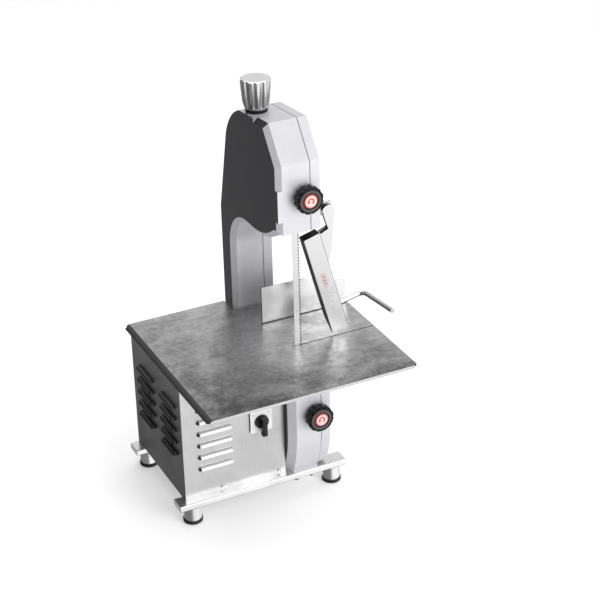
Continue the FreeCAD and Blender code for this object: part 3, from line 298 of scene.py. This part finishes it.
def hooded_sheet():
    """Brushed stainless front sheet: louver hoods brightened with a painted highlight, with painted
    shade at their left ends and underneath.
    """
    look = Look("hooded_sheet")
    mixed, lines = clouds_and_lines(look, 8.0, (50, 50, 1))
    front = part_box("front_panel")[0].y
    raised = look.below(look.axis(look.place, "Y"), front + HOOD_REACH * MM)
    # Painted shade on the hoods' left ends and undersides.
    end = look.both(raised, look.below(look.axis(look.facing, "X"), -0.45))
    underside_shade = look.both(raised, look.below(look.axis(look.facing, "Z"), -0.5))
    sheet = look.blend(look.spread(mixed, 0.36, 0.64), grey(0.50), grey(0.63))
    # Painted highlight: the hoods are coloured brighter than the sheet.
    lit = look.blend(raised, sheet, grey(0.80))
    look.colour(look.blend(look.either(end, underside_shade), lit, grey(0.03)))
    look.link(look.spread(raised, 0.0, 1.0, 1.0, 0.35), look.shader.inputs["Metallic"])
    look.gloss(look.spread(mixed, 0.35, 0.65, 0.42, 0.30))
    look.bump(lines, 0.015 * MM)
    return look


def latch_black(name, node):
    """Black moulded knob with a grey ring on its face and a maroon groove round the cap."""
    look = Look(name, Specular_IOR_Level=0.22)
    lo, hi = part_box(node)
    radius = look.radius((lo + hi) / 2, "XZ")
    near = look.below(look.axis(look.place, "Y"), lo.y + 3 * MM)
    front = look.both(look.below(look.axis(look.facing, "Y"), -0.9), near)
    inner, outer = (limit * MM for limit in LATCH_RING)
    ring = look.both(look.both(look.above(radius, inner), look.below(radius, outer)), front)
    groove = look.both(look.below(radius, inner), front)
    patches = look.noise(60.0, detail=4.0)
    black = look.blend(look.spread(patches, 0.35, 0.7), grey(0.002), grey(0.006))
    ringed = look.blend(ring, black, grey(0.075))
    look.colour(look.blend(groove, ringed, (0.12, 0.008, 0.014)))
    look.gloss(look.spread(patches, 0.3, 0.7, 0.20, 0.32))
    look.bump(look.noise(700.0), 0.02 * MM)
    return look


def cap_red(name, node):
    """A round cap: pale pink, reddening towards its rim."""
    look = Look(name, Coat_Weight=0.5, Coat_Roughness=0.12)
    lo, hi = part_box(node)
    radius = look.radius((lo + hi) / 2, "XZ")
    patches = look.noise(140.0, detail=3.0)
    pale = look.blend(look.spread(patches, 0.3, 0.7), (0.80, 0.50, 0.46), (0.86, 0.62, 0.57))
    rim = look.spread(radius, 10.0 * MM, 13.5 * MM)
    look.colour(look.blend(rim, pale, (0.42, 0.045, 0.045)))
    look.gloss(look.spread(patches, 0.3, 0.7, 0.16, 0.28))
    look.bump(patches, 0.01 * MM)
    return look


def flutes():
    """Bright turned alloy with painted shade darkening its flutes."""
    look = Look("polished_alloy", metallic=1.0)
    lo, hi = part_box("tension_knob")
    radius = look.radius((lo + hi) / 2, "XY")
    mixed, lines = clouds_and_lines(look, 30.0, (4, 4, 60))
    bright = look.blend(mixed, grey(0.66), grey(0.88))
    # Painted shade: the flutes darken the deeper they go.
    side = look.below(look.maths("ABSOLUTE", look.axis(look.facing, "Z")), 0.5)
    rim = (hi.x - lo.x) / 2
    flute_shade = look.both(side, look.spread(radius, rim - 4.5 * MM, rim - 1.5 * MM, 0.8, 0.0))
    look.colour(look.blend(flute_shade, bright, grey(0.36)))
    look.gloss(look.spread(mixed, 0.35, 0.65, 0.30, 0.16))
    look.bump(lines, 0.01 * MM)
    return look


def plate(name):
    """Satin stainless plate."""
    look = Look(name, metallic=1.0)
    mixed, lines = clouds_and_lines(look, 9.0, (60, 60, 1), share=0.2)
    look.colour(look.blend(look.spread(mixed, 0.36, 0.64), grey(0.64), grey(0.75)))
    look.gloss(look.spread(mixed, 0.35, 0.65, 0.34, 0.22))
    look.bump(lines, 0.010 * MM)
    return look


def pusher_plate():
    """Satin stainless with painted shade: black on the pusher's flange and turned top, and a dark
    line down its right edge.
    """
    look = Look("pusher_plate", metallic=1.0)
    mixed, lines = clouds_and_lines(look, 9.0, (60, 60, 1), share=0.2)
    satin = look.blend(look.spread(mixed, 0.36, 0.64), grey(0.66), grey(0.77))
    # Painted shade: the left-facing flange and the turned top are coloured black.
    left = look.below(look.axis(look.facing, "X"), -0.55)
    top = look.above(look.axis(look.facing, "Z"), 0.6)
    from_x = look.maths("SUBTRACT", look.axis(look.place, "X"), ARM_X * MM)
    from_z = look.maths("SUBTRACT", look.axis(look.place, "Z"), ARM_Z * MM)
    across = look.maths("MULTIPLY", from_x, math.cos(ARM_LEAN))
    up = look.maths("MULTIPLY", from_z, math.sin(ARM_LEAN))
    # Painted shade: a dark line down the right edge, in front.
    right_edge_shade = look.above(look.maths("ADD", across, up), ARM_RIGHT_SHADE_LINE * MM)
    in_front = look.below(look.axis(look.place, "Y"), (ARM_Y + 4.75) * MM)
    satin_with_shade_line = look.blend(look.both(right_edge_shade, in_front), satin, grey(0.17))
    look.colour(look.blend(look.either(left, top), satin_with_shade_line, grey(0.004)))
    look.gloss(look.spread(mixed, 0.35, 0.65, 0.34, 0.22))
    look.bump(lines, 0.010 * MM)
    return look


def handle_chrome():
    """Chromed bar, with a painted reflection darkening it underneath as if the table showed in it.
    """
    look = Look("handle_chrome", metallic=1.0)
    mixed, lines = clouds_and_lines(look, 12.0, (3, 40, 40))
    # Painted reflection: the bar is coloured dark underneath.
    underside_shade = look.spread(look.axis(look.facing, "Z"), -0.45, 0.05, 0.95, 0.0)
    lit = look.blend(mixed, grey(0.56), grey(0.74))
    look.colour(look.blend(underside_shade, lit, grey(0.02)))
    look.gloss(look.spread(mixed, 0.35, 0.65, 0.24, 0.10))
    look.bump(lines, 0.004 * MM)
    return look


def fence_steel():
    """Mirror-like plate, greyer to the left, with painted shade at its left end and foot."""
    look = Look("fence_steel", metallic=1.0)
    lo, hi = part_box("fence_plate")
    mixed, lines = clouds_and_lines(look, 7.0, (60, 60, 1))
    reach = lo.x + (hi.x - lo.x) * 0.6
    along = look.spread(look.axis(look.place, "X"), lo.x, reach, -0.25, 0.25)
    share = look.spread(look.maths("ADD", mixed, along), 0.3, 0.75)
    # Painted shade along the foot and at the left end.
    foot = look.below(look.axis(look.place, "Z"), lo.z + 1.3 * MM)
    end = look.below(look.axis(look.place, "X"), lo.x + 1.0 * MM)
    bright = look.blend(share, grey(0.46), grey(0.84))
    look.colour(look.blend(look.either(foot, end), bright, grey(0.05)))
    look.gloss(look.spread(mixed, 0.35, 0.65, 0.26, 0.14))
    look.bump(lines, 0.006 * MM)
    return look


def blade_steel():
    """Rolled band, bright on its flat and darker in the gullets."""
    look = Look("blade_steel", metallic=1.0)
    _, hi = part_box("saw_blade")
    mixed, lines = clouds_and_lines(look, 20.0, (60, 4, 4))
    band = look.blend(mixed, grey(0.60), grey(0.78))
    teeth = look.above(look.axis(look.place, "X"), hi.x - 4.2 * MM)
    look.colour(look.blend(teeth, band, grey(0.20)))
    look.gloss(look.spread(mixed, 0.35, 0.65, 0.36, 0.24))
    look.bump(lines, 0.01 * MM)
    return look


def switch_face():
    """Light grey plate with black sides."""
    look = Look("switch_plate")
    patches = look.noise(30.0, detail=5.0)
    front = look.below(look.axis(look.facing, "Y"), -0.9)
    face = look.blend(look.spread(patches, 0.35, 0.75), grey(0.78), grey(0.70))
    look.colour(look.blend(front, grey(0.015), face))
    look.gloss(look.spread(patches, 0.3, 0.7, 0.3, 0.42))
    look.bump(look.noise(900.0), 0.02 * MM)
    return look


LOOKS = {
    "cast_silver": cast_silver(),
    "stainless_table": steel_table(),
    "polished_alloy": flutes(),
    "blade_steel": blade_steel(),
    "switch_plate": switch_face(),
    "stainless_plate": plate("stainless_plate"),
    "steel": metal("steel", grey(0.60), grey(0.42), (0.18, 0.36), (30, 30, 2)),
    "black_plastic": plastic(
        "black_plastic", grey(0.003), grey(0.008), (0.20, 0.34), Specular_IOR_Level=0.35
    ),
    "red_cap": plastic(
        "red_cap", (0.50, 0.030, 0.030), (0.58, 0.055, 0.050), (0.18, 0.3), depth=0.01
    ),
    "chrome": metal("chrome", grey(0.80), grey(0.62), (0.10, 0.24), (3, 40, 40), depth=0.004),
    "iron": metal("iron", grey(0.20), grey(0.11), (0.42, 0.6), (8, 8, 8), depth=0.15),
    "wheel_alloy": metal(
        "wheel_alloy", grey(0.62), grey(0.46), (0.24, 0.42), (40, 6, 6), depth=0.03
    ),
    "bearing": metal("bearing", grey(0.66), grey(0.50), (0.12, 0.26), (60, 6, 6), depth=0.01),
    "guide_plastic": plastic(
        "guide_plastic", grey(0.66), grey(0.55), (0.38, 0.52), Subsurface_Weight=0.08
    ),
    "belt_rubber": plastic(
        "belt_rubber", grey(0.014), grey(0.030), (0.6, 0.8), grain=500.0, depth=0.1
    ),
    "motor_paint": plastic(
        "motor_paint", (0.030, 0.050, 0.075), (0.045, 0.070, 0.10), (0.35, 0.5), depth=0.06
    ),
    "capacitor": plastic("capacitor", grey(0.42), grey(0.34), (0.35, 0.5)),
    "stainless_sheet": metal(
        "stainless_sheet",
        grey(0.66),
        grey(0.52),
        (0.28, 0.40),
        (50, 50, 1),
        clouds=8.0,
        depth=0.015,
    ),
    "stainless_bar": metal(
        "stainless_bar", grey(0.88), grey(0.70), (0.24, 0.38), (1, 60, 60), depth=0.015
    ),
    "foot_rubber": plastic(
        "foot_rubber", grey(0.008), grey(0.020), (0.55, 0.75), grain=600.0, depth=0.08
    ),
}
PUSHER_PLATE = pusher_plate()
OWN_LOOKS = {
    "left_panel": shaded_side_sheet(),
    "front_panel": hooded_sheet(),
    "upper_latch_knob": latch_black("upper_latch_black", "upper_latch_knob"),
    "lower_latch_knob": latch_black("lower_latch_black", "lower_latch_knob"),
    "upper_latch_cap": cap_red("upper_cap_red", "upper_latch_cap"),
    "lower_latch_cap": cap_red("lower_cap_red", "lower_latch_cap"),
    "pusher_arm": PUSHER_PLATE,
    "pusher_ear": PUSHER_PLATE,
    "pusher_handle": handle_chrome(),
    "fence_plate": fence_steel(),
}

SLOT_OF = {part["node"]: part["material_slot"] for part in frame["record"]["subparts"]}


def dress(obj, look):
    """Give an object one look and no other."""
    obj.data.materials.clear()
    obj.data.materials.append(look.material)


for name, obj in frame["nodes"].items():
    dress(obj, OWN_LOOKS.get(name, LOOKS[SLOT_OF[name]]))

# ---------------------------------------------------------------- new pieces


def add_piece(name, mesh, body, look):
    """A new object from a finished bmesh, riding on a body."""
    data = bpy.data.meshes.new(name)
    bmesh.ops.recalc_face_normals(mesh, faces=mesh.faces)
    mesh.to_mesh(data)
    mesh.free()
    obj = bpy.data.objects.new(name, data)
    bpy.context.scene.collection.objects.link(obj)
    dress(obj, look)
    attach(obj, body)
    return obj


def saw_band():
    """The toothed blade as one loop round both wheels, with a gullet cut before each tooth."""
    lo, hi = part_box("saw_blade")
    radius = (hi.y - lo.y) / 2
    centre_y = (lo.y + hi.y) / 2
    top, bottom = hi.z - radius, lo.z + radius
    run = top - bottom
    loop = 2 * run + 2 * math.pi * radius
    thick = 0.6 * MM
    tooth_count = 240
    tooth_depth = 3.4 * MM
    # one tooth as (share of the pitch, share of the depth cut away)
    shape = ((0.0, 0.0), (0.12, 0.75), (0.38, 1.0), (0.62, 0.78), (0.86, 0.22))

    def along(distance, inward):
        """The point on the loop, up the front run first, and inward from the outside."""
        r = radius - inward
        if distance < run:
            return centre_y - r, bottom + distance
        distance -= run
        if distance < math.pi * radius:
            angle = distance / radius
            return centre_y - r * math.cos(angle), top + r * math.sin(angle)
        distance -= math.pi * radius
        if distance < run:
            return centre_y + r, top - distance
        angle = (distance - run) / radius
        return centre_y + r * math.cos(angle), bottom - r * math.sin(angle)

    mesh = bmesh.new()
    rings = []
    pitch = loop / tooth_count
    for tooth in range(tooth_count):
        for share, cut in shape:
            distance = (tooth + share) * pitch
            edge = hi.x - cut * tooth_depth
            ring = []
            for inward, x in ((0, lo.x), (0, edge), (thick, edge), (thick, lo.x)):
                y, z = along(distance, inward)
                ring.append(mesh.verts.new((x, y, z)))
            rings.append(ring)
    for first, second in zip(rings, rings[1:] + rings[:1]):
        for i in range(4):
            j = (i + 1) % 4
            mesh.faces.new((first[i], first[j], second[j], second[i]))
    band = add_piece("saw_band", mesh, "frame", LOOKS["blade_steel"])
    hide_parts("saw_blade")


def prism(mesh, near_points, far_points):
    """Two closed outlines of as many points, and the sides between them."""
    near = [mesh.verts.new(point) for point in near_points]
    far = [mesh.verts.new(point) for point in far_points]
    mesh.faces.new(near)
    mesh.faces.new(far[::-1])
    for i in range(len(near)):
        j = (i + 1) % len(near)
        mesh.faces.new((near[i], far[i], far[j], near[j]))


def flat_piece(name, outlines, to_world, thick, body, slot):
    """Thin flat shapes as one piece: each outline is closed, in (u, w), and stands out by thick."""
    mesh = bmesh.new()
    for outline in outlines:
        near = [to_world(u, thick, w) for u, w in outline]
        prism(mesh, near, [to_world(u, 0.0, w) for u, w in outline])
    bmesh.ops.triangulate(mesh, faces=mesh.faces[:])
    add_piece(name, mesh, body, LOOKS[slot])


def bar(u, w, wide, tall):
    """The outline of a rectangle about (u, w)."""
    corners = ((-1, -1), (1, -1), (1, 1), (-1, 1))
    return [(u + across * wide / 2, w + up * tall / 2) for across, up in corners]


def rounded(wide, tall, radius, steps=6):
    """The outline of a rectangle with round corners, about its middle."""
    points = []
    for corner, (u, w) in enumerate(((1, 1), (-1, 1), (-1, -1), (1, -1))):
        for step in range(steps + 1):
            angle = math.radians(90 * (corner + step / steps))
            points.append((
                u * (wide / 2 - radius) + radius * math.cos(angle),
                w * (tall / 2 - radius) + radius * math.sin(angle),
            ))
    return points


def ring_parts(outer, inner):
    """A band between two outlines of as many points, as four-sided pieces."""
    count = len(outer)
    following = [(i + 1) % count for i in range(count)]
    return [[outer[i], outer[j], inner[j], inner[i]] for i, j in enumerate(following)]


def arm_place(u, out, w):
    """A place on the pusher arm's front face: u across, out to the front, w up along the arm."""
    x = ARM_X + u * math.cos(ARM_LEAN) - w * math.sin(ARM_LEAN)
    z = ARM_Z + u * math.sin(ARM_LEAN) + w * math.cos(ARM_LEAN)
    return Vector((x * MM, (ARM_Y - out) * MM, z * MM))


def pusher_label():
    """A plain red outline with three small blocks, in place of a printed label."""

    def put(u, out, w):
        return arm_place(LABEL_ACROSS + u, out, LABEL_UP + w)

    outline = ring_parts(rounded(9.0, 32.0, 3.0), rounded(7.4, 30.4, 2.2))
    blocks = [bar(0, w, 3.0, 4.6) for w in (-8.0, 0.0, 8.0)]
    for name, shapes in (("label_outline", outline), ("label_blocks", blocks)):
        flat_piece(name, shapes, put, 0.12, "pusher", "red_cap")


def ear_return():
    """The ear's folded left edge, forward of the plate, dark with the same painted shade as the
    arm's flange.
    """
    lo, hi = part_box("pusher_ear")
    origin_x, origin_z = hi.x - 15.0 * MM, hi.z - 16.0 * MM
    # the fold's two sides in millimetres from the origin, from the ear's low corner upwards
    outer = [(-20, -38), (-4, -31), (-13.5, 0)]
    inner = [(-18.6, -39.2), (-2.2, -31.4), (-11.9, 0)]
    forward, sunk = 8 * MM, 0.5 * MM
    edge = [(origin_x + x * MM, origin_z + z * MM) for x, z in outer + inner[::-1]]
    mesh = bmesh.new()
    front = [(x, lo.y - forward, z) for x, z in edge]
    prism(mesh, front, [(x, lo.y + sunk, z) for x, z in edge])
    bmesh.ops.triangulate(mesh, faces=mesh.faces[:])
    add_piece("ear_return", mesh, "pusher", PUSHER_PLATE)


def on_front(lo, hi):
    """Places on a box's front: u across and w up from its middle, and out towards the front."""
    centre = (lo + hi) / 2

    def put(u, out, w):
        return Vector((centre.x + u * MM, lo.y - out * MM, centre.z + w * MM))

    return put


def cap_mark(which):
    """A plain curved arrow on a latch cap."""
    lo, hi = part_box(which + "_latch_cap")
    put = on_front(lo, hi)
    turn = [math.radians(angle) for angle in range(-60, 181, 20)]
    outer, inner = ([(r * math.cos(t), r * math.sin(t)) for t in turn] for r in (7.0, 4.0))
    parts = [[outer[i], outer[i + 1], inner[i + 1], inner[i]] for i in range(len(turn) - 1)]
    parts.append([(-8.6, 0.3), (-5.0, -4.6), (-1.4, 0.3)])
    flat_piece(which + "_cap_mark", parts, put, 0.10, which + "_latch", "red_cap")


def switch_marks():
    """The plain 0 and 1 beside the rotary switch."""
    lo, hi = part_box("switch_plate")
    put = on_front(lo, hi)
    side, up = 17, 17
    rings = rounded(3.4, 5.0, 1.7), rounded(2.0, 3.6, 1.0)
    zero, hollow = ([(u - side, w + up) for u, w in ring] for ring in rings)
    parts = ring_parts(zero, hollow) + [bar(side, up, 1.0, 5.0)]
    flat_piece("switch_marks", parts, put, 0.08, "frame", "black_plastic")


saw_band()
pusher_label()
ear_return()
cap_mark("upper")
cap_mark("lower")
switch_marks()

# ---------------------------------------------------------------- floor, light and camera


def plane(name, size, place):
    """A level square sheet, which isn't part of the object."""
    bpy.ops.mesh.primitive_plane_add(size=size, location=place)
    obj = bpy.context.object
    obj.name = name
    return obj


def area_light(name, place, aim, size, power):
    """A rectangular lamp of so many watts at a place, turned to its aim."""
    data = bpy.data.lights.new(name, "AREA")
    data.shape = "RECTANGLE"
    data.size, data.size_y = size
    data.energy = power
    obj = bpy.data.objects.new(name, data)
    bpy.context.scene.collection.objects.link(obj)
    obj.location = place
    obj.rotation_euler = (Vector(aim) - Vector(place)).to_track_quat("-Z", "Y").to_euler()


def studio():
    """A white room, brightest in front.

    It is darkest to the left and underneath, and dims behind, overhead and far to the right.
    """
    bpy.context.scene.view_settings.view_transform = "Standard"
    floor = plane("floor", 30.0, (0, 0, 0))
    white = rgb(grey(1.0))
    paper = Look("paper", roughness=0.9, Emission_Color=white, Emission_Strength=0.34)
    paper.colour(paper.blend(paper.noise(3.0), grey(0.93), grey(0.96)))
    dress(floor, paper)
    floor.visible_glossy = False

    world = bpy.data.worlds.new("studio")
    bpy.context.scene.world = world
    world.use_nodes = True
    tree = world.node_tree
    direction = tree.nodes.new("ShaderNodeTexCoord").outputs["Generated"]
    parts = tree.nodes.new("ShaderNodeSeparateXYZ")
    tree.links.new(direction, parts.inputs[0])

    def fall(axis, start, end, low):
        """1 up to start along an axis, easing to low at end."""
        made = tree.nodes.new("ShaderNodeMapRange")
        made.interpolation_type = "SMOOTHSTEP"
        tree.links.new(parts.outputs[axis], made.inputs["Value"])
        limits = {"From Min": start, "From Max": end, "To Min": 1.0, "To Max": low}
        for socket, value in limits.items():
            made.inputs[socket].default_value = value
        return made.outputs["Result"]

    def product(first):
        """A new multiplication of a socket by whatever feeds its second input."""
        made = tree.nodes.new("ShaderNodeMath")
        made.operation = "MULTIPLY"
        tree.links.new(first, made.inputs[0])
        return made

    level = fall("X", -0.10, -0.45, 0.20)
    for axis, start, end, low in (
        ("Y", 0.15, 0.75, 0.72),
        ("Z", -0.60, -0.88, 0.25),
        ("Z", 0.50, 0.90, 0.62),
        ("X", 0.70, 0.95, 0.55),
    ):
        shaded = product(level)
        tree.links.new(fall(axis, start, end, low), shaded.inputs[1])
        level = shaded.outputs["Value"]
    full = product(level)
    full.inputs[1].default_value = 1.16
    background = tree.nodes["Background"]
    background.inputs["Color"].default_value = white
    tree.links.new(full.outputs["Value"], background.inputs["Strength"])

    aim = (0, 0, 0.4)
    area_light("key", (0.9, -2.9, 1.1), aim, (1.8, 1.8), 46.0)
    area_light("top", (0.2, 0.3, 2.8), aim, (2.4, 2.4), 22.0)


def camera():
    """The main view: its place in metres, and its angles in degrees."""
    place = (-1.25224, -2.77518, 2.04412)
    turn, fall, roll = (math.radians(angle) for angle in (25.711, 28.129, -1.415))
    data = bpy.data.cameras.new("camera")
    data.lens = 104.668
    data.sensor_width = 36.0
    obj = bpy.data.objects.new("camera", data)
    bpy.context.scene.collection.objects.link(obj)
    turned = Matrix.Rotation(-turn, 4, "Z") @ Matrix.Rotation(math.pi / 2 - fall, 4, "X")
    obj.matrix_world = Matrix.Translation(place) @ turned @ Matrix.Rotation(roll, 4, "Z")
    bpy.context.scene.camera = obj


studio()
camera()

bpy.context.view_layer.update()
